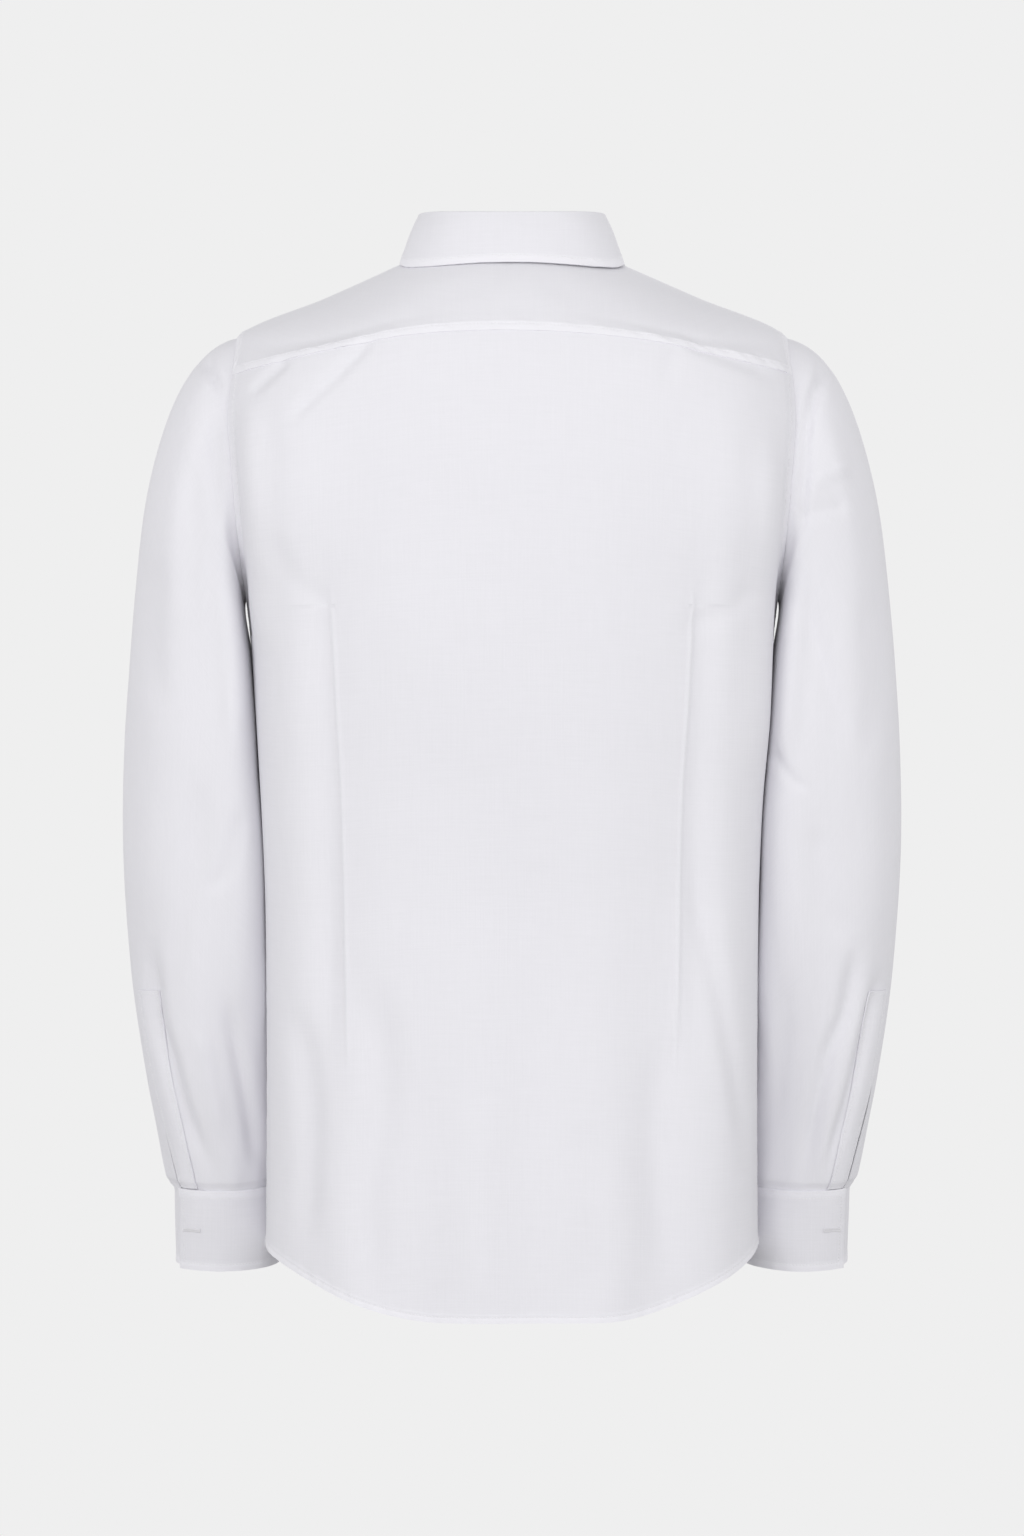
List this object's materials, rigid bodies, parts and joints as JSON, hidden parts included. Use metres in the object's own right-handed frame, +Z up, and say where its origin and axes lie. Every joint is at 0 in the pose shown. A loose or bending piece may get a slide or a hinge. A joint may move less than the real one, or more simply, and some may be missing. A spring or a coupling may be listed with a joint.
{
  "type": "long sleeve dress shirt",
  "caption": "White button-front dress shirt with long sleeves, turned-down collar, back yoke and barrel cuffs, filled out as worn.",
  "frame": {"origin": "in the middle of the neck opening, level with the tops of the shoulders, where the wearer holds the shirt up", "axes": "+Z up along the wearer's neck, -Y towards the front of the shirt, +X towards the wearer's left"},
  "size_m": [0.5706, 0.2642, 0.7983],
  "materials": {
    "white_poplin": "matte, fine plain weave",
    "button_resin": "smooth, slightly glossy"
  },
  "bodies": {
    "root": {"back": "white_poplin", "yoke": "white_poplin", "front_left": "white_poplin", "front_right": "white_poplin", "placket": "white_poplin", "collar_stand": "white_poplin", "collar_fall": "white_poplin", "sleeve_left": "white_poplin", "sleeve_placket_left": "white_poplin", "sleeve_right": "white_poplin", "sleeve_placket_right": "white_poplin", "cuff_left": "white_poplin", "cuff_right": "white_poplin", "button_front_1": "button_resin", "button_front_2": "button_resin", "button_front_3": "button_resin", "button_front_4": "button_resin", "button_front_5": "button_resin", "button_front_6": "button_resin", "button_collar": "button_resin", "button_cuff_left": "button_resin", "button_cuff_right": "button_resin"}
  },
  "joints": []
}
